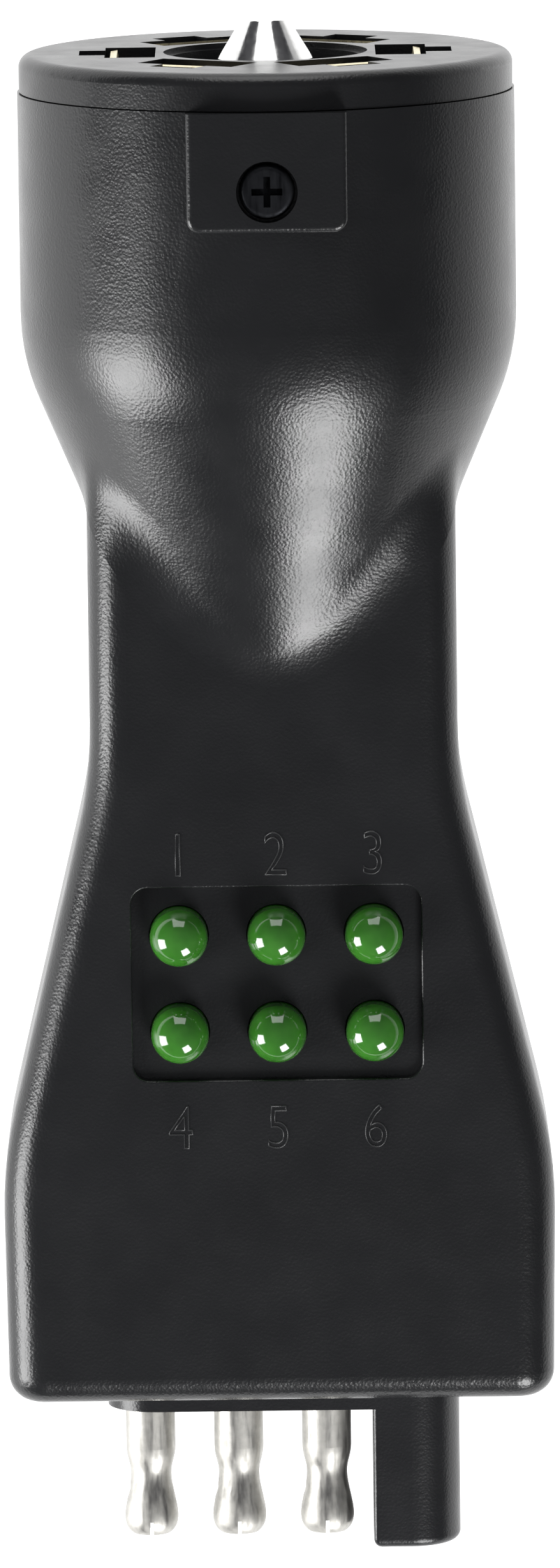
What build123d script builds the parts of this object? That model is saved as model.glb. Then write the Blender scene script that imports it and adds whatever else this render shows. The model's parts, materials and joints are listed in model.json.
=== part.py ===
from build123d import *
import os
from math import cos, hypot, radians, sin, tan

# A hand-held trailer-light tester. +Y runs along its length towards the 7-way plug, +Z comes out of
# the face with the lamps, +X is to the right. The origin is the centre of the 7-way plug's face.

# ---- overall sizes -------------------------------------------------------------------------------
BARREL_D = 44.4        # outside of the 7-way barrel
HOUSING_LENGTH = 117.7  # clamshell, from its mouth to its flat bottom
BARREL_LENGTH = 23.75  # mouth to the corner where the cone starts
CONE_ANGLE = 23.0      # cone, to the axis
SHOULDER_R = 20.0      # barrel into cone
SLAB_THICK = 21.6      # flat handle, front to back
NECK_WIDTH = 32.9      # handle at its narrowest
HIP_WIDTH = 49.7       # handle at its widest
BOTTOM_WIDTH = 49.1    # handle at its bottom end
NECK_RISE = 57.0       # end of the narrow stretch, above the bottom
HIP_RISE = 21.9        # start of the wide stretch, above the bottom
FLARE_R = 40.0         # soft bends of the handle's outline
SLAB_EDGE_R = 3.4      # long edges of the handle
BOTTOM_EDGE_R = 2.4    # rim of the bottom end
BLEND_SHARE = 0.79     # cone-to-handle blend, as a share of the step in height between them
WALL = 2.0             # clamshell wall

# ---- clearances ----------------------------------------------------------------------------------
SEAM_GAP = 0.1         # face disc to clamshell mouth
FIT_GAP = 0.15         # one moulded piece in another
LAMP_GAP = 0.1         # lamp in its hole
MOULD_GAP = 0.03       # metal in the plastic or board that grips it

# ---- 7-way plug ----------------------------------------------------------------------------------
FACE_THICK = 3.26      # face disc
FACE_STEP = 0.17       # face disc is this much smaller in radius than the barrel
FACE_EDGE_R = 1.1
CORE_LENGTH = 15.0     # solid part of the insulator, behind the face
INSERT_LENGTH = 21.0   # whole insulator with its skirt
SKIRT_WALL = 2.0
RECESS_DEPTH = 9.0     # round recess about the centre pin
RECESS_MARGIN = 1.3    # between the round recess and the slots
RECESS_RING = 0.6      # step round the recess
RECESS_RING_DEPTH = 0.5
SLOT_COUNT = 6
SLOT_RIM = 5.6         # plastic outside a slot, to the barrel's surface
SLOT_NECK = 2.3        # narrow outer part of a slot, along the radius
SLOT_HEAD = 4.5        # wide inner part of a slot, along the radius
SLOT_WIDE = 9.6
SLOT_NARROW = 4.4
SLOT_DEPTH = 13.2
STOP_RIB = 1.8         # rib behind the insulator, along the axis and inwards

STRIP_THICK = 0.6      # spring contact
STRIP_WIDTH = 8.5
STRIP_TOP = 0.2        # below the face
STRIP_BOW = 1.4        # how far the leaf stands inwards
TAIL_WIDTH = 5.0
TAIL_LENGTH = 6.3

PIN_TIP_R = 2.075
PIN_TIP_Y = 2.95
PIN_R = 4.25
PIN_CONE_Y = -0.6
STUD_R = 2.4
STUD_OVER = 0.6        # stud end beyond the nut
WASHER_R = 4.2
WASHER_THICK = 0.8
NUT_ACROSS = 7.0
NUT_THICK = 2.8
TAB_REACH = 6.5        # ring terminal's tab, from the axis
TAB_WIDTH = 3.0

# ---- key pad and its screw -----------------------------------------------------------------------
PAD_WIDTH = 14.1
PAD_LENGTH = 10.5
PAD_RISE = 0.7         # above the barrel
PAD_CORNER_R = 1.2
PAD_EDGE_R = 0.5
KEY_SCREW_DOWN = 6.9   # from the clamshell's mouth
KEY_BORE_R = 2.7
KEY_BORE_DEPTH = 1.6
KEY_SCREW_LENGTH = 5.6

# ---- lamps and board -----------------------------------------------------------------------------
LAMP_RISE = 38.45      # middle of the lamp recess, above the bottom
LAMP_SIDE = 8.72       # lamp spacing across
LAMP_PITCH = 8.8       # lamp spacing along
LAMP_R = 2.6
LAMP_FLANGE_R = 2.9
LAMP_FLANGE = 1.0
LAMP_HEIGHT = 8.6
LAMP_PROUD = 4.2       # above the recess floor
LEG_SIDE = 2.54
LEG_WIDTH = 0.5
LEG_OVER = 1.0         # legs beyond the back of the board
LEG_HOLE_R = 0.45
RECESS_WIDTH = 25.9
RECESS_HEIGHT = 17.5
RECESS_CORNER_R = 1.5
RECESS_SINK = 0.8
RECESS_FLOOR = 2.0
RECESS_EDGE_R = 0.2
BOARD_SIDE_GAP = 0.45  # board to the inside of the neck
BOARD_UP = 16.5        # board's top edge, above the middle of the recess
BOARD_DOWN = 23.5      # board's bottom edge, below it
BOARD_THICK = 1.6
BOARD_DROP = 1.2       # lamp's foot above the board
POST_R = 2.5
POST_INSET = 3.0       # from the board's long edges
POST_SCREW_R = 0.9
POST_SCREW_LENGTH = 4.6
POST_HEAD_R = 1.9
POST_HEAD = 1.2
RESISTOR_R = 1.2
RESISTOR_LENGTH = 6.3
RESISTOR_SPAN = 9.4
RESISTOR_INSET = 4.0   # outermost resistor, from the board's long edge
DIODE_R = 1.35
DIODE_LENGTH = 5.2
DIODE_SPAN = 8.4
PART_LEG_R = 0.3

# ---- closing screws ------------------------------------------------------------------------------
SCREW_R = 1.45
SCREW_LENGTH = 13.5
SCREW_HEAD_R = 2.45
SCREW_HEAD = 1.6
SCREW_SINK = 4.2       # head's seat below the back face
SCREW_BORE_R = 2.7
SCREW_WAY_R = 1.6
BOSS_WALL = 1.0
UPPER_BOSS = (11.2, 77.0)   # across, and above the bottom
LOWER_BOSS = (18.5, 11.0)
CROSS_LENGTH = 2.7
CROSS_WIDTH = 0.6
CROSS_DEPTH = 1.0

# ---- 4-way flat connector ------------------------------------------------------------------------
FLAT_PITCH = 8.0
FLAT_WIDTH = 31.9
FLAT_SHIFT = 0.15      # its middle, to the right of the axis
FLAT_THICK = 8.8
FLAT_PROUD = 2.0       # below the clamshell
FLAT_INSIDE = 8.0      # above the clamshell's bottom face
FLANGE_LIP = 1.5
FLANGE_THICK = 4.0
TOWER_INNER_X = 8.2
TOWER_LENGTH = 12.9
TOWER_EDGE_R = 0.8
FLAT_EDGE_R = 0.4
BULLET_R = 2.23
BULLET_SHANK = 4.0
BULLET_LENGTH = 12.0
BULLET_ROOT_R = 2.0
BULLET_NECK_R = 1.86
BULLET_BULGE_R = 2.3
BULLET_NECK_RISE = 5.9   # neck and bulge, above the tip
BULLET_BULGE_RISE = 2.6
BULLET_TIP_R = 1.75
BULLET_SLIT = 0.35
BULLET_SLIT_LENGTH = 1.3
BULLET_HOLLOW_R = 1.1
BULLET_HOLLOW = 4.0
SLEEVE_BORE_R = 2.3
SLEEVE_WALL = 0.5
SLEEVE_SINK = 1.0      # sleeve's mouth inside the tower's
SLEEVE_DEPTH = 15.0
SLEEVE_FLOOR = 2.0
SOLDER_TAIL_R = 1.2
SOLDER_TAIL = 2.5

# ---- wires ---------------------------------------------------------------------------------------
WIRE_R = 0.8
PLUG_WIRE_PITCH = 2.0
WIRE_OUT = 4.0         # straight run behind a contact
WIRE_GATHER = 18.5     # behind the contacts, where the seven wires lie side by side
PLUG_WIRE_ON_BOARD = 2.0    # wire's end inside the board's upper edge
FLAT_WIRE_ON_BOARD = 4.0    # and inside its lower edge
WIRE_BEND = 5.0
FLAT_WIRE_BEND = 3.0
FLAT_WIRE_RUN = 1.5     # straight at either end
FLAT_WIRE_INSET = 1.2   # from the board's long edges, at least

# ---- values that follow --------------------------------------------------------------------------
BARREL_R = BARREL_D / 2
HALF_THICK = SLAB_THICK / 2
BLEND_R = BLEND_SHARE * (BARREL_R - HALF_THICK)
MOUTH_Y = -FACE_THICK - SEAM_GAP
BOTTOM_Y = MOUTH_Y - HOUSING_LENGTH
CONE_Y = MOUTH_Y - BARREL_LENGTH
NECK_Y = BOTTOM_Y + NECK_RISE
HIP_Y = BOTTOM_Y + HIP_RISE
INSERT_R = BARREL_R - WALL - FIT_GAP
SLOT_OUTER_R = BARREL_R - SLOT_RIM
SLOT_STEP_R = SLOT_OUTER_R - SLOT_NECK
SLOT_INNER_R = SLOT_STEP_R - SLOT_HEAD
RECESS_R = SLOT_INNER_R - RECESS_MARGIN
CONTACT_R = SLOT_STEP_R - STRIP_THICK / 2
TAIL_END_Y = -SLOT_DEPTH - TAIL_LENGTH
LAMP_Y = BOTTOM_Y + LAMP_RISE
SINK_Z = HALF_THICK - RECESS_SINK
LAMP_FOOT_Z = SINK_Z + LAMP_PROUD - LAMP_HEIGHT
BOARD_TOP_Z = LAMP_FOOT_Z - BOARD_DROP
BOARD_BACK_Z = BOARD_TOP_Z - BOARD_THICK
BOARD_WIDTH = NECK_WIDTH - 2 * (WALL + BOARD_SIDE_GAP)
BOARD_TOP_Y = LAMP_Y + BOARD_UP
BOARD_BOTTOM_Y = LAMP_Y - BOARD_DOWN
WIRE_Z = BOARD_BACK_Z - WIRE_R
SEAT_Z = -HALF_THICK + SCREW_SINK
KEY_Y = MOUTH_Y - KEY_SCREW_DOWN
KEY_SEAT_Z = BARREL_R + PAD_RISE - KEY_BORE_DEPTH
FLAT_FACE_Y = BOTTOM_Y - FLAT_PROUD
FLAT_REAR_Y = BOTTOM_Y + FLAT_INSIDE
TOWER_TIP_Y = FLAT_FACE_Y - TOWER_LENGTH
PIN_XS = [FLAT_PITCH * (i - 1.5) for i in range(3)]
SOCKET_X = FLAT_PITCH * 1.5
LAMPS = [(LAMP_SIDE * (i - 1), LAMP_Y + LAMP_PITCH * (0.5 - row)) for row in range(2) for i in range(3)]
POST_X = BOARD_WIDTH / 2 - POST_INSET
POSTS = [(-POST_X, BOARD_TOP_Y - 4.5), (POST_X, BOARD_TOP_Y - 4.5), (0.0, BOARD_BOTTOM_Y + POST_INSET)]
RESISTOR_PITCH = (BOARD_WIDTH - 2 * RESISTOR_INSET) / (SLOT_COUNT - 1)
BOSSES = [(side * x, BOTTOM_Y + rise) for x, rise in (UPPER_BOSS, LOWER_BOSS) for side in (-1, 1)]

os.makedirs("parts", exist_ok=True)


def save(piece, name):
    """Label a finished piece and write it as its own STEP file."""
    piece.label = name
    export_step(piece, f"parts/{name}.step")


def across(y):
    """A plane square to the axis at y, with local x along +X, local y along +Z, normal along -Y."""
    return Plane(origin=(0, y, 0), x_dir=(1, 0, 0), z_dir=(0, -1, 0))


def level(z):
    """A plane parallel to the lamp face, normal along +Z."""
    return Plane.XY.offset(z)


def barrel_form(inset):
    """Barrel and cone as one turned solid, inset evenly from the outside."""
    slope = radians(CONE_ANGLE)
    radius = BARREL_R - inset
    corner_y = CONE_Y + inset * tan(slope / 2)
    tip_r = HALF_THICK * 0.8 - inset
    tip_y = corner_y - (radius - tip_r) / tan(slope)
    top_y = MOUTH_Y + (1 if inset else 0)
    with BuildPart() as turned:
        with BuildSketch(Plane.XY):
            with BuildLine():
                Line((0, top_y), (radius, top_y))
                FilletPolyline((radius, top_y), (radius, corner_y), (tip_r, tip_y), radius=SHOULDER_R)
                Polyline((tip_r, tip_y), (0, tip_y), (0, top_y))
            make_face()
        revolve(axis=Axis.Y)
    return turned.part


def handle_form(inset):
    """The flat, flared handle, inset evenly from the outside."""
    neck = NECK_WIDTH / 2 - inset
    hip = HIP_WIDTH / 2 - inset
    end = BOTTOM_WIDTH / 2 - inset
    top_y = CONE_Y + BARREL_LENGTH / 2
    low_y = BOTTOM_Y + inset
    half = HALF_THICK - inset
    with BuildPart() as flat:
        with BuildSketch(level(-half)):
            with BuildLine():
                right = [(neck, top_y), (neck, NECK_Y), (hip, HIP_Y), (end, low_y)]
                left = [(-x, y) for x, y in reversed(right)]
                FilletPolyline(*right, radius=FLARE_R)
                Line(right[-1], left[0])
                FilletPolyline(*left, radius=FLARE_R)
                Line(left[-1], right[0])
            make_face()
        extrude(amount=2 * half)
        rims = flat.faces().filter_by(Axis.Z).edges()
        ends = flat.faces().filter_by(Axis.Y).edges()
        fillet([edge for edge in rims if edge not in ends], radius=SLAB_EDGE_R - inset / 2)
        fillet(flat.faces().sort_by(Axis.Y)[0].edges(), radius=BOTTOM_EDGE_R - inset / 2)
    return flat.part


def housing_solid():
    """Outside of the whole clamshell, with the key pad on it."""
    barrel = barrel_form(0)
    handle = handle_form(0)
    with BuildPart() as whole:
        add(barrel)
        add(handle)
        fillet(new_edges(barrel, handle, combined=whole.part), radius=BLEND_R)
    with BuildPart() as pad:
        with BuildSketch(level(BARREL_R - WALL * 0.8)):
            with Locations((0, MOUTH_Y - PAD_LENGTH / 2)):
                Rectangle(PAD_WIDTH, PAD_LENGTH)
        extrude(amount=PAD_RISE + WALL * 0.8)
        fillet(pad.edges().filter_by(Axis.Z).group_by(Axis.Y)[0], radius=PAD_CORNER_R)
        rim = pad.faces().sort_by(Axis.Z)[-1].edges()
        fillet(rim.sort_by(Axis.Y)[:-1], radius=PAD_EDGE_R)
    with BuildPart() as outside:
        add(whole.part)
        add(pad.part)
    return outside.part


def housing_hollow():
    """Inside of the clamshell, open at the mouth."""
    with BuildPart() as inside:
        add(barrel_form(WALL))
        add(handle_form(WALL))
    return inside.part


def stop_rib():
    """Ring inside the barrel that the insulator's skirt lands on."""
    with BuildPart() as rib:
        with BuildSketch(across(-INSERT_LENGTH)):
            Circle(BARREL_R - WALL / 2)
            Circle(BARREL_R - WALL - STOP_RIB, mode=Mode.SUBTRACT)
        extrude(amount=STOP_RIB)
    return rib.part


def flat_slot(y, length, grow):
    """Stadium-shaped body of the flat connector, from y downwards."""
    with BuildPart() as body:
        with BuildSketch(across(y)):
            with Locations((FLAT_SHIFT, 0)):
                SlotOverall(FLAT_WIDTH + 2 * grow, FLAT_THICK + 2 * grow)
        extrude(amount=length)
    return body.part


# ---- clamshell -----------------------------------------------------------------------------------
SHELL_OUTSIDE = housing_solid()
SHELL_INSIDE = housing_hollow()
RIB = stop_rib()
FLAT_WAY = flat_slot(BOTTOM_Y + WALL + 1, WALL + 2, FIT_GAP)

with BuildPart() as front_housing:
    add(SHELL_OUTSIDE)
    add(SHELL_INSIDE, mode=Mode.SUBTRACT)
    add(RIB)
    add(FLAT_WAY, mode=Mode.SUBTRACT)
    split(bisect_by=Plane.XY, keep=Keep.TOP)
    with BuildSketch(level(0)):
        with Locations(*BOSSES):
            Circle(SCREW_R + BOSS_WALL + 0.7)
    extrude(amount=HALF_THICK - WALL * 0.7)
    with BuildSketch(level(0)):
        with Locations(*BOSSES):
            Circle(SCREW_R + MOULD_GAP)
    extrude(amount=SCREW_LENGTH + SEAT_Z + 0.5, mode=Mode.SUBTRACT)
    with BuildSketch(level(SINK_Z - RECESS_FLOOR)):
        with Locations((0, LAMP_Y)):
            Rectangle(RECESS_WIDTH + 2 * WALL, RECESS_HEIGHT + 2 * WALL)
    extrude(amount=RECESS_FLOOR)
    with BuildSketch(level(BOARD_TOP_Z)):
        with Locations(*POSTS):
            Circle(POST_R)
    extrude(amount=HALF_THICK - WALL / 2 - BOARD_TOP_Z)
    with BuildSketch(level(BOARD_TOP_Z)):
        with Locations(*POSTS):
            Circle(POST_SCREW_R + MOULD_GAP)
    extrude(amount=POST_SCREW_LENGTH - BOARD_THICK + 0.4, mode=Mode.SUBTRACT)
    with BuildSketch(level(SINK_Z)):
        with Locations((0, LAMP_Y)):
            RectangleRounded(RECESS_WIDTH, RECESS_HEIGHT, RECESS_CORNER_R)
    extrude(amount=RECESS_SINK + 1, mode=Mode.SUBTRACT)
    rims = front_housing.edges().filter_by_position(Axis.Z, HALF_THICK - 0.01, HALF_THICK + 0.01)
    fillet(rims.filter_by_position(Axis.X, -RECESS_WIDTH / 2 - 0.01, RECESS_WIDTH / 2 + 0.01)
           .filter_by_position(Axis.Y, LAMP_Y - RECESS_HEIGHT / 2 - 0.01, LAMP_Y + RECESS_HEIGHT / 2 + 0.01),
           radius=RECESS_EDGE_R)
    with BuildSketch(level(SINK_Z - RECESS_FLOOR)):
        with Locations(*LAMPS):
            Circle(LAMP_R + LAMP_GAP)
    extrude(amount=RECESS_FLOOR, mode=Mode.SUBTRACT)
    with BuildSketch(level(KEY_SEAT_Z)):
        with Locations((0, KEY_Y)):
            Circle(KEY_BORE_R)
    extrude(amount=KEY_BORE_DEPTH + 1, mode=Mode.SUBTRACT)
    with BuildSketch(level(INSERT_R - 1)):
        with Locations((0, KEY_Y)):
            Circle(SCREW_WAY_R)
    extrude(amount=KEY_SEAT_Z - INSERT_R + 2, mode=Mode.SUBTRACT)
save(front_housing.part, "front_housing")

with BuildPart() as rear_housing:
    add(SHELL_OUTSIDE)
    add(SHELL_INSIDE, mode=Mode.SUBTRACT)
    add(RIB)
    add(FLAT_WAY, mode=Mode.SUBTRACT)
    split(bisect_by=Plane.XY, keep=Keep.BOTTOM)
    with BuildSketch(level(0)):
        with Locations(*BOSSES):
            Circle(SCREW_BORE_R + BOSS_WALL)
    extrude(amount=-(HALF_THICK - WALL * 0.7))
    with BuildSketch(level(0)):
        with Locations(*BOSSES):
            Circle(SCREW_WAY_R)
    extrude(amount=SEAT_Z, mode=Mode.SUBTRACT)
    with BuildSketch(level(SEAT_Z)):
        with Locations(*BOSSES):
            Circle(SCREW_BORE_R)
    extrude(amount=-(SCREW_SINK + BARREL_R), mode=Mode.SUBTRACT)
save(rear_housing.part, "rear_housing")

# ---- 7-way plug insert and its contacts ----------------------------------------------------------
with BuildPart() as plug_insert:
    with BuildSketch(across(0)):
        Circle(BARREL_R - FACE_STEP)
    extrude(amount=FACE_THICK)
    fillet(plug_insert.edges().group_by(Axis.Y)[-1], radius=FACE_EDGE_R)
    with BuildSketch(across(-FACE_THICK)):
        Circle(INSERT_R)
    extrude(amount=INSERT_LENGTH - FACE_THICK)
    with BuildSketch(across(-CORE_LENGTH)):
        Circle(INSERT_R - SKIRT_WALL)
    extrude(amount=INSERT_LENGTH - CORE_LENGTH, mode=Mode.SUBTRACT)
    with BuildSketch(across(0)):
        Circle(RECESS_R + RECESS_RING)
    extrude(amount=RECESS_RING_DEPTH, mode=Mode.SUBTRACT)
    with BuildSketch(across(0)):
        Circle(RECESS_R)
    extrude(amount=RECESS_DEPTH, mode=Mode.SUBTRACT)
    with BuildSketch(across(0)):
        with PolarLocations((SLOT_INNER_R + SLOT_STEP_R) / 2, SLOT_COUNT):
            Rectangle(SLOT_STEP_R - SLOT_INNER_R, SLOT_WIDE)
        with PolarLocations((SLOT_STEP_R + SLOT_OUTER_R) / 2, SLOT_COUNT):
            Rectangle(SLOT_OUTER_R - SLOT_STEP_R + 0.01, SLOT_NARROW)
    extrude(amount=SLOT_DEPTH, mode=Mode.SUBTRACT)
    with BuildSketch(across(-SLOT_DEPTH)):
        with PolarLocations(CONTACT_R, SLOT_COUNT):
            Rectangle(STRIP_THICK + 2 * MOULD_GAP, TAIL_WIDTH + 2 * MOULD_GAP)
    extrude(amount=CORE_LENGTH - SLOT_DEPTH, mode=Mode.SUBTRACT)
    with BuildSketch(across(-RECESS_DEPTH)):
        Circle(STUD_R + MOULD_GAP)
    extrude(amount=CORE_LENGTH - RECESS_DEPTH, mode=Mode.SUBTRACT)
    with BuildSketch(level(KEY_SEAT_Z - KEY_SCREW_LENGTH - 0.3)):
        with Locations((0, KEY_Y)):
            Circle(SCREW_R + MOULD_GAP)
    extrude(amount=KEY_SCREW_LENGTH, mode=Mode.SUBTRACT)
save(plug_insert.part, "plug_insert")

for number in range(SLOT_COUNT):
    angle = radians(360 / SLOT_COUNT * number)
    radial = Plane(origin=(0, 0, 0), x_dir=(cos(angle), 0, sin(angle)), z_dir=(-sin(angle), 0, cos(angle)))
    with BuildPart() as contact:
        with BuildSketch(radial):
            with BuildLine():
                FilletPolyline(
                    (CONTACT_R - STRIP_BOW / 3, -STRIP_TOP),
                    (CONTACT_R - STRIP_BOW, -SLOT_DEPTH * 0.45),
                    (CONTACT_R, -SLOT_DEPTH * 0.75),
                    (CONTACT_R, -SLOT_DEPTH),
                    radius=2.5,
                )
            trace(line_width=STRIP_THICK)
        extrude(amount=STRIP_WIDTH / 2, both=True)
        with BuildSketch(radial):
            with Locations((CONTACT_R, (TAIL_END_Y - SLOT_DEPTH) / 2)):
                Rectangle(STRIP_THICK, TAIL_LENGTH)
        extrude(amount=TAIL_WIDTH / 2, both=True)
    save(contact.part, f"blade_contact_{number + 1}")

STUD_END_Y = -CORE_LENGTH - 2 * WASHER_THICK - NUT_THICK - STUD_OVER
with BuildPart() as center_pin:
    with BuildSketch(Plane.XY):
        Polygon(
            (0, PIN_TIP_Y), (PIN_TIP_R, PIN_TIP_Y), (PIN_R, PIN_CONE_Y), (PIN_R, -RECESS_DEPTH),
            (STUD_R, -RECESS_DEPTH), (STUD_R, STUD_END_Y), (0, STUD_END_Y), align=None,
        )
    revolve(axis=Axis.Y)
    fillet(center_pin.edges().group_by(Axis.Y)[-1], radius=0.3)
save(center_pin.part, "center_pin")

with BuildPart() as pin_washer:
    with BuildSketch(across(-CORE_LENGTH)):
        Circle(WASHER_R)
        Circle(STUD_R + MOULD_GAP, mode=Mode.SUBTRACT)
    extrude(amount=WASHER_THICK)
save(pin_washer.part, "pin_washer")

RING_Y = -CORE_LENGTH - WASHER_THICK
with BuildPart() as pin_terminal:
    with BuildSketch(across(RING_Y)):
        Circle(WASHER_R)
        with Locations((0, -TAB_REACH / 2)):
            Rectangle(TAB_WIDTH, TAB_REACH)
        Circle(STUD_R + MOULD_GAP, mode=Mode.SUBTRACT)
    extrude(amount=WASHER_THICK)
    with BuildSketch(across(RING_Y)):
        with Locations((0, -TAB_REACH + WASHER_THICK / 2)):
            Rectangle(TAB_WIDTH, WASHER_THICK)
    extrude(amount=RING_Y - TAIL_END_Y)
save(pin_terminal.part, "pin_terminal")

with BuildPart() as pin_nut:
    with BuildSketch(across(RING_Y - WASHER_THICK)):
        RegularPolygon(NUT_ACROSS / 2, 6, major_radius=False)
        Circle(STUD_R + MOULD_GAP, mode=Mode.SUBTRACT)
    extrude(amount=NUT_THICK)
save(pin_nut.part, "pin_nut")

# ---- board, lamps and what is soldered to them ---------------------------------------------------
LEGS = [(x + side * LEG_SIDE / 2, y) for x, y in LAMPS for side in (-1, 1)]
with BuildPart() as circuit_board:
    with BuildSketch(level(BOARD_BACK_Z)):
        with Locations((0, (BOARD_TOP_Y + BOARD_BOTTOM_Y) / 2)):
            RectangleRounded(BOARD_WIDTH, BOARD_TOP_Y - BOARD_BOTTOM_Y, 1)
        with Locations(*POSTS):
            Circle(POST_SCREW_R + FIT_GAP, mode=Mode.SUBTRACT)
        with Locations(*LEGS):
            Circle(LEG_HOLE_R, mode=Mode.SUBTRACT)
    extrude(amount=BOARD_THICK)
save(circuit_board.part, "circuit_board")

LAMP_NAMES = ["left_turn", "tail_marker", "right_turn", "power", "brake", "backup"]
for lamp_name, (lamp_x, lamp_y) in zip(LAMP_NAMES, LAMPS):
    with BuildPart() as lamp:
        with BuildSketch(Plane(origin=(lamp_x, lamp_y, LAMP_FOOT_Z), x_dir=(1, 0, 0), z_dir=(0, -1, 0))):
            with BuildLine():
                Polyline((0, LAMP_HEIGHT), (0, 0), (LAMP_FLANGE_R, 0), (LAMP_FLANGE_R, LAMP_FLANGE),
                         (LAMP_R, LAMP_FLANGE), (LAMP_R, LAMP_HEIGHT - LAMP_R))
                RadiusArc((0, LAMP_HEIGHT), (LAMP_R, LAMP_HEIGHT - LAMP_R), LAMP_R)
            make_face()
        revolve(axis=Axis((lamp_x, lamp_y, 0), (0, 0, 1)))
    save(lamp.part, f"led_{lamp_name}")

with BuildPart() as led_leads:
    with BuildSketch(level(BOARD_BACK_Z - LEG_OVER)):
        with Locations(*LEGS):
            Rectangle(LEG_WIDTH, LEG_WIDTH)
    extrude(amount=LAMP_FOOT_Z - BOARD_BACK_Z + LEG_OVER)
save(led_leads.part, "led_leads")


def leaded_part(radius, length, span):
    """Turned body along X with two legs bent up to the board, centred on the origin."""
    leg_drop = radius + 0.05
    with BuildPart() as component:
        with BuildSketch(Plane.XY):
            with Locations((0, radius / 2)):
                RectangleRounded(length, radius, radius * 0.3)
            Rectangle(length - radius, radius)
            Rectangle(length, radius * 4, align=(Align.CENTER, Align.MAX), mode=Mode.SUBTRACT)
        revolve(axis=Axis.X)
        with BuildLine(Plane.XZ):
            FilletPolyline((-span / 2, leg_drop), (-span / 2, 0), (span / 2, 0), (span / 2, leg_drop), radius=0.6)
        with BuildSketch(Plane(origin=(-span / 2, 0, leg_drop), z_dir=(0, 0, -1))):
            Circle(PART_LEG_R)
        sweep()
    return component.part


RESISTOR_Y = LAMPS[-1][1] - LAMP_PITCH * 0.9
RESISTOR_Z = BOARD_BACK_Z - RESISTOR_R - 0.05
DIODE_Z = BOARD_BACK_Z - DIODE_R - 0.05
RESISTOR = leaded_part(RESISTOR_R, RESISTOR_LENGTH, RESISTOR_SPAN)
DIODE = leaded_part(DIODE_R, DIODE_LENGTH, DIODE_SPAN)

with BuildPart() as resistors:
    for number in range(SLOT_COUNT):
        with Locations(Location((RESISTOR_PITCH * (number - 2.5), RESISTOR_Y, RESISTOR_Z), (0, 0, 90))):
            add(RESISTOR)
save(resistors.part, "resistors")

with BuildPart() as diodes:
    for side in (-1, 1):
        with Locations((side * 5.0, LAMP_Y, DIODE_Z)):
            add(DIODE)
save(diodes.part, "diodes")

# ---- screws --------------------------------------------------------------------------------------
with BuildPart() as board_screws:
    with BuildSketch(level(BOARD_BACK_Z)):
        with Locations(*POSTS):
            Circle(POST_HEAD_R)
    extrude(amount=-POST_HEAD)
    with BuildSketch(level(BOARD_BACK_Z)):
        with Locations(*POSTS):
            Circle(POST_SCREW_R)
    extrude(amount=POST_SCREW_LENGTH)
save(board_screws.part, "board_screws")


def driven_screws(places, seat_z, length, head_r, head, outward):
    """Pan-head screws along Z; outward is +1 where the heads face +Z and -1 where they face -Z."""
    with BuildPart() as screws:
        with BuildSketch(level(seat_z)):
            with Locations(*places):
                Circle(head_r)
        extrude(amount=outward * head)
        fillet(screws.edges().group_by(Axis.Z)[-1 if outward > 0 else 0], radius=head * 0.4)
        with BuildSketch(level(seat_z)):
            with Locations(*places):
                Circle(SCREW_R)
        extrude(amount=-outward * length)
        with BuildSketch(level(seat_z + outward * head)):
            with Locations(*places):
                Rectangle(CROSS_LENGTH, CROSS_WIDTH)
                Rectangle(CROSS_WIDTH, CROSS_LENGTH)
        extrude(amount=-outward * CROSS_DEPTH, mode=Mode.SUBTRACT)
    return screws.part


save(driven_screws(BOSSES, SEAT_Z, SCREW_LENGTH, SCREW_HEAD_R, SCREW_HEAD, -1), "housing_screws")
save(driven_screws([(0, KEY_Y)], KEY_SEAT_Z, KEY_SCREW_LENGTH, SCREW_HEAD_R, KEY_BORE_DEPTH - 0.2, 1),
     "key_screw")

# ---- 4-way flat connector ------------------------------------------------------------------------
FLAT_BODY = flat_slot(FLAT_REAR_Y, FLAT_REAR_Y - FLAT_FACE_Y, 0)
FLAT_FLANGE = flat_slot(BOTTOM_Y + WALL + FLANGE_THICK, FLANGE_THICK, FLANGE_LIP)
with BuildPart() as tower:
    with BuildSketch(across(FLAT_FACE_Y)):
        with Locations((FLAT_SHIFT, 0)):
            SlotOverall(FLAT_WIDTH, FLAT_THICK)
        with Locations((TOWER_INNER_X, 0)):
            Rectangle(FLAT_WIDTH, FLAT_THICK, align=(Align.MIN, Align.CENTER), mode=Mode.INTERSECT)
    extrude(amount=TOWER_LENGTH)
    fillet(tower.edges().filter_by(Axis.Y).group_by(Axis.X)[0], radius=FLAT_EDGE_R)
    fillet(tower.edges().group_by(Axis.Y)[0], radius=TOWER_EDGE_R)

with BuildPart() as four_flat_body:
    add(FLAT_BODY)
    add(FLAT_FLANGE)
    add(tower.part)
    with BuildSketch(across(FLAT_REAR_Y)):
        with Locations(*[(x, 0) for x in PIN_XS]):
            Circle(BULLET_ROOT_R + MOULD_GAP)
    extrude(amount=FLAT_REAR_Y - FLAT_FACE_Y, mode=Mode.SUBTRACT)
    with BuildSketch(across(FLAT_REAR_Y)):
        with Locations((SOCKET_X, 0)):
            Circle(SLEEVE_BORE_R + SLEEVE_WALL + MOULD_GAP)
    extrude(amount=FLAT_REAR_Y - TOWER_TIP_Y, mode=Mode.SUBTRACT)
save(four_flat_body.part, "four_flat_body")

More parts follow.
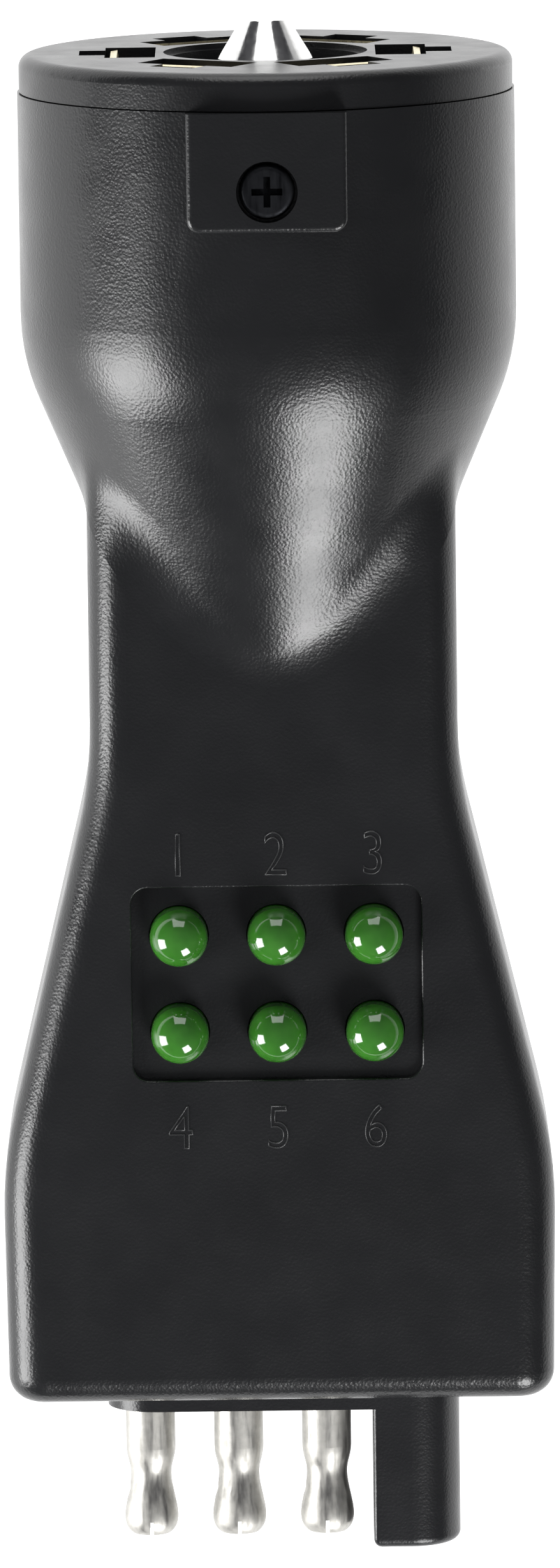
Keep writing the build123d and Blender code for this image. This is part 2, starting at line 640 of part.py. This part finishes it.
SHANK_END_Y = FLAT_FACE_Y - BULLET_SHANK
BULLET_TIP_Y = FLAT_FACE_Y - BULLET_LENGTH
SOLDER_END_Y = FLAT_REAR_Y + SOLDER_TAIL
for number, pin_x in enumerate(PIN_XS):
    with BuildPart() as bullet:
        with BuildSketch(Plane(origin=(pin_x, 0, 0))):
            with BuildLine():
                Polyline((0, BULLET_TIP_Y), (0, SOLDER_END_Y), (SOLDER_TAIL_R, SOLDER_END_Y),
                         (SOLDER_TAIL_R, FLAT_REAR_Y), (BULLET_ROOT_R, FLAT_REAR_Y),
                         (BULLET_ROOT_R, FLAT_FACE_Y), (BULLET_R, FLAT_FACE_Y), (BULLET_R, SHANK_END_Y))
                Spline((BULLET_R, SHANK_END_Y), (BULLET_NECK_R, BULLET_TIP_Y + BULLET_NECK_RISE),
                       (BULLET_BULGE_R, BULLET_TIP_Y + BULLET_BULGE_RISE), (BULLET_TIP_R, BULLET_TIP_Y),
                       tangents=[(0, -1), (-0.8, -0.6)])
                Line((BULLET_TIP_R, BULLET_TIP_Y), (0, BULLET_TIP_Y))
            make_face()
        revolve(axis=Axis((pin_x, 0, 0), (0, 1, 0)))
        with BuildSketch(across(BULLET_TIP_Y)):
            with Locations((pin_x, 0)):
                Rectangle(3 * BULLET_R, BULLET_SLIT)
                Rectangle(BULLET_SLIT, 3 * BULLET_R)
        extrude(amount=-BULLET_SLIT_LENGTH, mode=Mode.SUBTRACT)
        with BuildSketch(across(BULLET_TIP_Y)):
            with Locations((pin_x, 0)):
                Circle(BULLET_HOLLOW_R)
        extrude(amount=-BULLET_HOLLOW, mode=Mode.SUBTRACT)
    save(bullet.part, f"bullet_{number + 1}")

SLEEVE_TIP_Y = TOWER_TIP_Y + SLEEVE_SINK
SLEEVE_REAR_Y = SLEEVE_TIP_Y + SLEEVE_DEPTH + SLEEVE_FLOOR
with BuildPart() as socket_sleeve:
    with BuildSketch(across(SLEEVE_REAR_Y)):
        with Locations((SOCKET_X, 0)):
            Circle(SLEEVE_BORE_R + SLEEVE_WALL)
    extrude(amount=SLEEVE_DEPTH + SLEEVE_FLOOR)
    with BuildSketch(across(SLEEVE_REAR_Y - SLEEVE_FLOOR)):
        with Locations((SOCKET_X, 0)):
            Circle(SLEEVE_BORE_R)
    extrude(amount=SLEEVE_DEPTH, mode=Mode.SUBTRACT)
    with BuildSketch(across(SOLDER_END_Y)):
        with Locations((SOCKET_X, 0)):
            Circle(SOLDER_TAIL_R)
    extrude(amount=SOLDER_END_Y - SLEEVE_REAR_Y)
save(socket_sleeve.part, "socket_sleeve")


# ---- wires ---------------------------------------------------------------------------------------
def make_wire(name, start, end, first_run, last_run, bend):
    """Round wire from start to end, both along the axis, with one slanted stretch between."""
    shift = (end[0] - start[0], end[2] - start[2])
    side = hypot(*shift)
    length = start[1] - end[1]
    lie = Plane(origin=start, x_dir=(0, -1, 0), z_dir=(-shift[1] / side, 0, shift[0] / side))
    with BuildPart() as wire:
        with BuildLine(lie):
            FilletPolyline((0, 0), (first_run, 0), (length - last_run, side), (length, side), radius=bend)
        with BuildSketch(across(start[1])):
            with Locations((start[0], start[2])):
                Circle(WIRE_R)
        sweep()
    save(wire.part, name)


CONTACT_ENDS = [(CONTACT_R * cos(radians(a)), CONTACT_R * sin(radians(a))) for a in (180, 120, 240)]
PLUG_ENDS = CONTACT_ENDS + [(0, WASHER_THICK / 2 - TAB_REACH)] + [(-x, z) for x, z in reversed(CONTACT_ENDS)]
PLUG_WIRE_END_Y = BOARD_TOP_Y - PLUG_WIRE_ON_BOARD
for number, (wire_x, wire_z) in enumerate(PLUG_ENDS):
    make_wire(
        f"plug_wire_{number + 1}",
        (wire_x, TAIL_END_Y, wire_z),
        (PLUG_WIRE_PITCH * (number - 3), PLUG_WIRE_END_Y, WIRE_Z),
        WIRE_OUT,
        TAIL_END_Y - PLUG_WIRE_END_Y - WIRE_GATHER,
        WIRE_BEND,
    )

FLAT_WIRE_END_Y = BOARD_BOTTOM_Y + FLAT_WIRE_ON_BOARD
FLAT_WIRE_REACH = BOARD_WIDTH / 2 - FLAT_WIRE_INSET
for number, wire_x in enumerate(PIN_XS + [SOCKET_X]):
    make_wire(
        f"flat_wire_{number + 1}",
        (max(-FLAT_WIRE_REACH, min(FLAT_WIRE_REACH, wire_x)), FLAT_WIRE_END_Y, WIRE_Z),
        (wire_x, SOLDER_END_Y, 0),
        FLAT_WIRE_RUN,
        FLAT_WIRE_RUN,
        FLAT_WIRE_BEND,
    )
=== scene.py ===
import json
import math

import bmesh
import bpy
from mathutils import Matrix, Vector


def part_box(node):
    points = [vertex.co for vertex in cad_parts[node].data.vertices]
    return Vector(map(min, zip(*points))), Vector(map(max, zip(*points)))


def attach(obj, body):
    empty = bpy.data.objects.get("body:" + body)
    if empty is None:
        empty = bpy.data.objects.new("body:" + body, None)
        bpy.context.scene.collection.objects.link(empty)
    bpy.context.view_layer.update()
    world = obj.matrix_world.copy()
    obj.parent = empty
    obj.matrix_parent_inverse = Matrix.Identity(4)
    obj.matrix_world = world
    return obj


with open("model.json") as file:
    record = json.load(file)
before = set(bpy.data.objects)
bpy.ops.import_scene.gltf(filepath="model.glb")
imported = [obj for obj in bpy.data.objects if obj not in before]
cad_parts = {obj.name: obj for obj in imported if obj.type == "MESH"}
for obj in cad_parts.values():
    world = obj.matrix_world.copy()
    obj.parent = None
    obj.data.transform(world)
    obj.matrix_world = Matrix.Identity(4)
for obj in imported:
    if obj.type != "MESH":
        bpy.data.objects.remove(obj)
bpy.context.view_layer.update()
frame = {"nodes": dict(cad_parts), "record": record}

# The look of a trailer-light tester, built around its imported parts. Metres; +Y runs towards the round
# 7-way plug, +Z comes out of the lamp face, +X is to the right.

MM = 0.001
NODES = frame["nodes"]
BACK_Z = next(m for m in frame["record"]["mounts"] if m["name"] == "back_face")["pos_m"][2]

# ---- camera --------------------------------------------------------------------------------------
CAMERA_DISTANCE = 1.0
CAMERA_TILT = math.radians(9.1)    # towards the round plug, from straight above the lamps
CAMERA_ROLL = math.radians(-0.72)
CAMERA_AIM = Vector((0.0005, -0.0662, 0.0004))
CAMERA_SENSOR = 36.0               # long side, in millimetres, as the lens is
CAMERA_LENS = 254.7
CAMERA_CLIP = (0.01, 50.0)

# ---- where the light comes from ------------------------------------------------------------------
LIGHT_AIM = Vector((0.0, -0.088, 0.011))       # the lamps
KEY_LIGHT = {"direction": (-0.92, -0.26, 0.29), "reach": 0.34, "size": (0.18, 0.20), "power": 1.6}
FOOT_LIGHT = {"direction": (0.38, -0.75, 0.54), "reach": 0.70, "size": (0.31, 0.36), "power": 5.6}
HEAD_LIGHT = {"direction": (0.0, 0.97, 0.24), "reach": 1.10, "size": (0.80, 0.85), "power": 6.5}
ROOM_STOPS = [(0.10, (0.06, 0.06, 0.065, 1)), (0.95, (0.15, 0.15, 0.16, 1))]    # level to overhead


def aim(thing, direction, roll=0.0):
    """Turn a camera or light to look along direction, with +Y up in its picture."""
    back = -Vector(direction).normalized()
    side = Vector((0, 1, 0)).cross(back).normalized()
    up = back.cross(side)
    turn = Matrix((side, up, back)).transposed()
    thing.rotation_euler = (turn @ Matrix.Rotation(roll, 3, "Z")).to_euler()


def make_camera():
    data = bpy.data.cameras.new("camera")
    data.lens = CAMERA_LENS
    data.sensor_width = CAMERA_SENSOR
    data.clip_start, data.clip_end = CAMERA_CLIP
    camera = bpy.data.objects.new("camera", data)
    bpy.context.scene.collection.objects.link(camera)
    away = Vector((0, math.sin(CAMERA_TILT), math.cos(CAMERA_TILT)))
    camera.location = CAMERA_AIM + away * CAMERA_DISTANCE
    aim(camera, -away, CAMERA_ROLL)
    bpy.context.scene.camera = camera


def make_softbox(name, direction, reach, size, power):
    data = bpy.data.lights.new(name, "AREA")
    data.shape = "RECTANGLE"
    data.size, data.size_y = size
    data.energy = power
    lamp = bpy.data.objects.new(name, data)
    bpy.context.scene.collection.objects.link(lamp)
    away = Vector(direction).normalized()
    lamp.location = LIGHT_AIM + away * reach
    lamp.rotation_euler = away.to_track_quat("Z", "Y").to_euler()


def make_world():
    """A dim room: a little light overhead and less towards the ground."""
    world = bpy.data.worlds.new("studio")
    bpy.context.scene.world = world
    world.use_nodes = True
    tree = world.node_tree
    background = tree.nodes["Background"]
    coordinates = tree.nodes.new("ShaderNodeTexCoord")
    split = tree.nodes.new("ShaderNodeSeparateXYZ")
    ramp = tree.nodes.new("ShaderNodeValToRGB")
    tree.links.new(coordinates.outputs["Generated"], split.inputs[0])
    tree.links.new(split.outputs["Z"], ramp.inputs[0])
    tree.links.new(ramp.outputs[0], background.inputs["Color"])
    for stop, (position, color) in zip(ramp.color_ramp.elements, ROOM_STOPS):
        stop.position = position
        stop.color = color
    background.inputs["Strength"].default_value = 1.0


make_camera()
make_softbox("key_light", **KEY_LIGHT)
make_softbox("foot_light", **FOOT_LIGHT)
make_softbox("head_light", **HEAD_LIGHT)
make_world()
bpy.context.scene.view_settings.view_transform = "Standard"


# ---- materials -----------------------------------------------------------------------------------
NOISE_RANGE = (0.3, 0.7)           # where nearly all of a noise texture's values lie
CELL_SMOOTHNESS = 0.6


class Look:
    """A Principled material with small helpers for procedural detail. Textures run on the object's metres."""

    def __init__(self, name, color, roughness, metallic=0.0):
        self.material = bpy.data.materials.new(name)
        self.material.use_nodes = True
        self.tree = self.material.node_tree
        self.shader = self.tree.nodes["Principled BSDF"]
        self.set("Base Color", (*color, 1))
        self.set("Roughness", roughness)
        self.set("Metallic", metallic)
        self.height = None
        coordinates = self.tree.nodes.new("ShaderNodeTexCoord")
        self.place = coordinates.outputs["Object"]

    def set(self, socket, value):
        self.shader.inputs[socket].default_value = value

    def link(self, start, end):
        self.tree.links.new(start, end)

    def noise(self, size, detail=2.0, stretch=(1, 1, 1)):
        """Noise whose blobs are about size metres across."""
        mapping = self.tree.nodes.new("ShaderNodeMapping")
        mapping.inputs["Scale"].default_value = stretch
        self.link(self.place, mapping.inputs["Vector"])
        node = self.tree.nodes.new("ShaderNodeTexNoise")
        node.inputs["Scale"].default_value = 1 / size
        node.inputs["Detail"].default_value = detail
        self.link(mapping.outputs[0], node.inputs["Vector"])
        return node.outputs[0]

    def cells(self, size):
        """Rounded cells about size metres across, as a moulded grain."""
        node = self.tree.nodes.new("ShaderNodeTexVoronoi")
        node.feature = "SMOOTH_F1"
        node.inputs["Scale"].default_value = 1 / size
        node.inputs["Smoothness"].default_value = CELL_SMOOTHNESS
        self.link(self.place, node.inputs["Vector"])
        return node.outputs["Distance"]

    def spread(self, source, low, high, span=NOISE_RANGE):
        """Map the part of a texture's range within span to low..high."""
        node = self.tree.nodes.new("ShaderNodeMapRange")
        node.inputs["From Min"].default_value = span[0]
        node.inputs["From Max"].default_value = span[1]
        node.inputs["To Min"].default_value = low
        node.inputs["To Max"].default_value = high
        self.link(source, node.inputs["Value"])
        return node.outputs[0]

    def vary_color(self, source, color_a, color_b):
        ramp = self.tree.nodes.new("ShaderNodeValToRGB")
        for stop, position, color in zip(ramp.color_ramp.elements, NOISE_RANGE, (color_a, color_b)):
            stop.position = position
            stop.color = (*color, 1)
        self.link(source, ramp.inputs[0])
        self.link(ramp.outputs[0], self.shader.inputs["Base Color"])

    def vary(self, socket, source, low, high):
        self.link(self.spread(source, low, high), self.shader.inputs[socket])

    def bump(self, source, depth):
        """Relief of depth metres; a later call adds on top of an earlier one."""
        node = self.tree.nodes.new("ShaderNodeBump")
        node.inputs["Distance"].default_value = depth
        self.link(source, node.inputs["Height"])
        if self.height is not None:
            self.link(self.height, node.inputs["Normal"])
        self.height = node.outputs[0]
        self.link(self.height, self.shader.inputs["Normal"])


def shades(color, darker, lighter):
    """A darker and a lighter shade of color, as shares of it."""
    return tuple(c * darker for c in color), tuple(min(1, c * lighter) for c in color)


PLASTIC_IOR = 1.48
FINE_GRAIN_SIZE = 0.6              # as a share of the coarse grain's size
FINE_GRAIN_DEPTH = 0.5             # and of its depth
LACQUER_RELIEF = 0.000004


def moulded_black(name, tone, roughness, grain_depth, grain_size):
    """Black moulded plastic with a fine pebbled grain and faint handling marks."""
    look = Look(name, tone, roughness)
    look.vary_color(look.noise(size=0.012, detail=3.0), *shades(tone, darker=0.88, lighter=1.14))
    look.vary("Roughness", look.noise(size=0.004, detail=4.0), low=roughness - 0.03, high=roughness + 0.04)
    look.bump(look.cells(grain_size), grain_depth)
    look.bump(look.noise(grain_size * FINE_GRAIN_SIZE), grain_depth * FINE_GRAIN_DEPTH)
    look.set("IOR", PLASTIC_IOR)
    return look.material


def led_green():
    """Tinted epoxy: deep green, a little cloudy, with a polished skin."""
    look = Look("led_green", color=(0.035, 0.16, 0.016), roughness=0.10)
    look.vary_color(look.noise(size=0.0022), (0.028, 0.14, 0.013), (0.045, 0.19, 0.022))
    look.set("Subsurface Weight", 0.6)
    look.set("Subsurface Radius", (0.0006, 0.0016, 0.0005))
    look.set("Coat Weight", 0.6)
    look.set("Coat Roughness", 0.03)
    look.bump(look.noise(size=0.0009), LACQUER_RELIEF)
    return look.material


def plated(name, color, roughness, streak_size, relief):
    """Turned or stamped metal: fine streaks along the part and small dull spots."""
    look = Look(name, color, roughness, metallic=1.0)
    streaks = look.noise(streak_size, detail=3.0, stretch=(1, 0.12, 1))
    look.vary_color(look.noise(size=0.0007, detail=4.0), *shades(color, darker=0.86, lighter=1.06))
    look.vary("Roughness", streaks, low=roughness * 0.7, high=roughness * 1.5)
    look.bump(streaks, relief)
    return look.material


def lacquered(name, color, roughness):
    """Smooth coloured plastic or lacquer with slight mottling."""
    look = Look(name, color, roughness)
    look.vary_color(look.noise(size=0.0012, detail=3.0), *shades(color, darker=0.85, lighter=1.12))
    look.vary("Roughness", look.noise(size=0.0006), low=roughness * 0.8, high=roughness * 1.3)
    look.bump(look.noise(size=0.0004), LACQUER_RELIEF)
    return look.material


# name: (tone, roughness, grain depth, grain size)
PLASTICS = {
    "housing_plastic": ((0.0108, 0.0112, 0.0121), 0.27, 0.000018, 0.00026),
    "insert_plastic": ((0.0100, 0.0103, 0.0112), 0.30, 0.000014, 0.00024),
    "flat_plastic": ((0.0115, 0.0118, 0.0130), 0.30, 0.000014, 0.00024),
}
# name: (color, roughness, streak size, relief)
METALS = {
    "bright_pin": ((0.80, 0.80, 0.79), 0.12, 0.0004, 0.000001),
    "bullet_metal": ((0.50, 0.49, 0.46), 0.46, 0.0005, 0.000002),
    "terminal_brass": ((0.74, 0.66, 0.42), 0.28, 0.0005, 0.000006),
    "hardware_steel": ((0.60, 0.60, 0.60), 0.32, 0.0006, 0.000006),
    "tinned_wire": ((0.72, 0.72, 0.72), 0.30, 0.0004, 0.000004),
    "black_screw": ((0.024, 0.025, 0.028), 0.50, 0.0005, 0.000010),
}
# name: (color, roughness)
LACQUERS = {
    "board_green": ((0.02, 0.16, 0.07), 0.35),
    "resistor_body": ((0.55, 0.42, 0.24), 0.35),
    "diode_body": ((0.04, 0.04, 0.04), 0.35),
    "wire_yellow": ((0.75, 0.55, 0.05), 0.38),
    "wire_brown": ((0.20, 0.09, 0.04), 0.38),
    "wire_white": ((0.80, 0.80, 0.78), 0.38),
    "wire_black": ((0.03, 0.03, 0.03), 0.38),
    "wire_green": ((0.03, 0.30, 0.08), 0.38),
    "wire_blue": ((0.03, 0.10, 0.45), 0.38),
    "wire_red": ((0.55, 0.03, 0.03), 0.38),
}
LOOKS = {name: moulded_black(name, *values) for name, values in PLASTICS.items()}
LOOKS["led_green"] = led_green()
LOOKS.update({name: plated(name, *values) for name, values in METALS.items()})
LOOKS.update({name: lacquered(name, *values) for name, values in LACQUERS.items()})


def dress(thing, slot_name):
    """Give a piece the look made for one of the record's slots."""
    thing.data.materials.clear()
    thing.data.materials.append(LOOKS[slot_name])


for row in frame["record"]["subparts"]:
    dress(NODES[row["node"]], row["material_slot"])


# ---- moulded numbers -----------------------------------------------------------------------------
# The numbers' raised outline is coloured lighter than the housing plastic around it: a painted highlight
# along the strokes.
MARK_TONE_PAINTED_HIGHLIGHT = (0.0300, 0.0305, 0.0315)
MARK_LOOK_PAINTED_HIGHLIGHT = moulded_black("raised_mark_painted_highlight", MARK_TONE_PAINTED_HIGHLIGHT, roughness=0.24, grain_depth=0.000002, grain_size=0.00042)
DIGIT_HEIGHT = 3.9 * MM
DIGIT_WIDTH = 0.82                 # as a share of the typeface's own width
DIGIT_RIDGE = 0.075 * MM           # half the width of a number's raised outline
DIGIT_SHRINK = -0.05 * MM          # the outline runs this far inside the typeface's own
DIGIT_ROUND_STEPS = 3
DIGIT_CURVE_STEPS = 8
CAP_SHARE = 0.69                   # a figure's height as a share of the typeface's size
NUMBERS_ABOVE = 9.85 * MM          # from the middle of the recess to the foot of numbers 1 to 3
NUMBERS_BELOW = 14.95 * MM         # and of numbers 4 to 6


def make_digit(name, text, x, y, z):
    """One number as a fine raised outline, half sunk in the lamp face."""
    curve = bpy.data.curves.new(name, "FONT")
    curve.body = text
    curve.align_x = "CENTER"
    curve.size = DIGIT_HEIGHT / CAP_SHARE
    curve.fill_mode = "NONE"
    curve.bevel_depth = DIGIT_RIDGE
    curve.bevel_resolution = DIGIT_ROUND_STEPS
    curve.offset = DIGIT_SHRINK
    curve.resolution_u = DIGIT_CURVE_STEPS
    writing = bpy.data.objects.new(name + "_curve", curve)
    bpy.context.scene.collection.objects.link(writing)
    bpy.context.view_layer.update()
    mesh = bpy.data.meshes.new_from_object(writing.evaluated_get(bpy.context.evaluated_depsgraph_get()))
    bpy.data.objects.remove(writing)
    mesh.transform(Matrix.Translation((x, y, z)) @ Matrix.Diagonal((DIGIT_WIDTH, 1, 1, 1)))
    mesh.shade_smooth()
    digit = bpy.data.objects.new(name, mesh)
    bpy.context.scene.collection.objects.link(digit)
    # Its lighter tone is a painted highlight along the raised outline.
    digit.data.materials.append(MARK_LOOK_PAINTED_HIGHLIGHT)
    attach(digit, "root")


LAMP_NAMES = ["left_turn", "tail_marker", "right_turn", "power", "brake", "backup"]
lamp_boxes = [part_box("led_" + name) for name in LAMP_NAMES]
lamp_centers = [(low + high) / 2 for low, high in lamp_boxes]
recess_y = sum(c.y for c in lamp_centers) / len(lamp_centers)
face_z = -BACK_Z                   # the handle is as thick in front of z 0 as behind it
for number, center in enumerate(lamp_centers, 1):
    foot = recess_y + NUMBERS_ABOVE if center.y > recess_y else recess_y - NUMBERS_BELOW
    make_digit(f"number_{number}", str(number), center.x, foot, face_z)


# ---- floor ---------------------------------------------------------------------------------------
FLOOR_GAP = 0.1 * MM               # below the points that rest on it
HANDLE_REST = 1.5 * MM             # where the handle rests, from its end
BARREL_REST = 22 * MM              # where the barrel rests, from the plug's end
FLOOR_START = -0.34                # the stretch along Y that isn't flat
FLOOR_LENGTH = 0.54
FLOOR_STEPS = 60
TIP_START = -0.30                  # tipped with the tester from here to TIP_END
TIP_END = 0.16
TIP_EASE = 0.12                    # over which it levels out at either end
TIP_MIDDLE = -0.1                  # between the two ends, where it is tipped in full
FLOOR_REACH = 8.0
FLOOR_TONE = (0.20, 0.20, 0.20)
FLOOR_TONES = ((0.19, 0.19, 0.19), (0.21, 0.21, 0.21))
FLOOR_CLOUD = 0.2
FLOOR_ROUGHNESS = 0.9
FLOOR_GLOW = (1.25, 0.45)          # light it gives off, to the left and to the right of the span
FLOOR_GLOW_SPAN = (0.05, 0.14)     # along X, over which it changes from one to the other


def tip_share(y):
    """How much of the tester's tip the floor has at y, from none to all of it."""
    inwards = y - TIP_START if y < TIP_MIDDLE else TIP_END - y
    ease = max(0.0, min(1.0, inwards / TIP_EASE))
    return ease * ease * (3 - 2 * ease)


def floor_profile():
    """The floor's line along Y as (y, z) points, just below the barrel and the handle's end.

    The tester lies on its back on those two, so it is tipped a little in its own frame. The floor is tipped
    with it where it lies and levels out further off."""
    low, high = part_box("rear_housing")
    barrel_z = low.z - FLOOR_GAP
    barrel_y = high.y - BARREL_REST
    handle_z = BACK_Z - FLOOR_GAP
    handle_y = low.y + HANDLE_REST
    slope = (handle_z - barrel_z) / (handle_y - barrel_y)
    ys = [FLOOR_START + FLOOR_LENGTH * step / FLOOR_STEPS for step in range(FLOOR_STEPS + 1)]
    heights = [0.0]
    for y0, y1 in zip(ys, ys[1:]):
        heights.append(heights[-1] + (y1 - y0) * slope * (tip_share(y0) + tip_share(y1)) / 2)
    middle = min(range(len(ys)), key=lambda i: abs(ys[i] - barrel_y))
    lift = barrel_z + slope * (ys[middle] - barrel_y) - heights[middle]
    ys = [-FLOOR_REACH] + ys + [FLOOR_REACH]
    heights = [heights[0]] + heights + [heights[-1]]
    return [(y, height + lift) for y, height in zip(ys, heights)]


def make_floor():
    """A pale floor that gives off light of its own, less of it to the right."""
    build = bmesh.new()
    edges = [[build.verts.new((x, y, z)) for x in (-FLOOR_REACH, FLOOR_REACH)] for y, z in floor_profile()]
    for (a, b), (c, d) in zip(edges, edges[1:]):
        build.faces.new((a, b, d, c))
    mesh = bpy.data.meshes.new("floor")
    build.to_mesh(mesh)
    build.free()
    mesh.shade_smooth()
    floor = bpy.data.objects.new("floor", mesh)
    bpy.context.scene.collection.objects.link(floor)
    look = Look("floor", FLOOR_TONE, FLOOR_ROUGHNESS)
    look.vary_color(look.noise(FLOOR_CLOUD), *FLOOR_TONES)
    look.set("Emission Color", (1, 1, 1, 1))
    split = look.tree.nodes.new("ShaderNodeSeparateXYZ")
    look.link(look.place, split.inputs[0])
    glow = look.spread(split.outputs["X"], *FLOOR_GLOW, span=FLOOR_GLOW_SPAN)
    look.link(glow, look.shader.inputs["Emission Strength"])
    floor.data.materials.append(look.material)


make_floor()
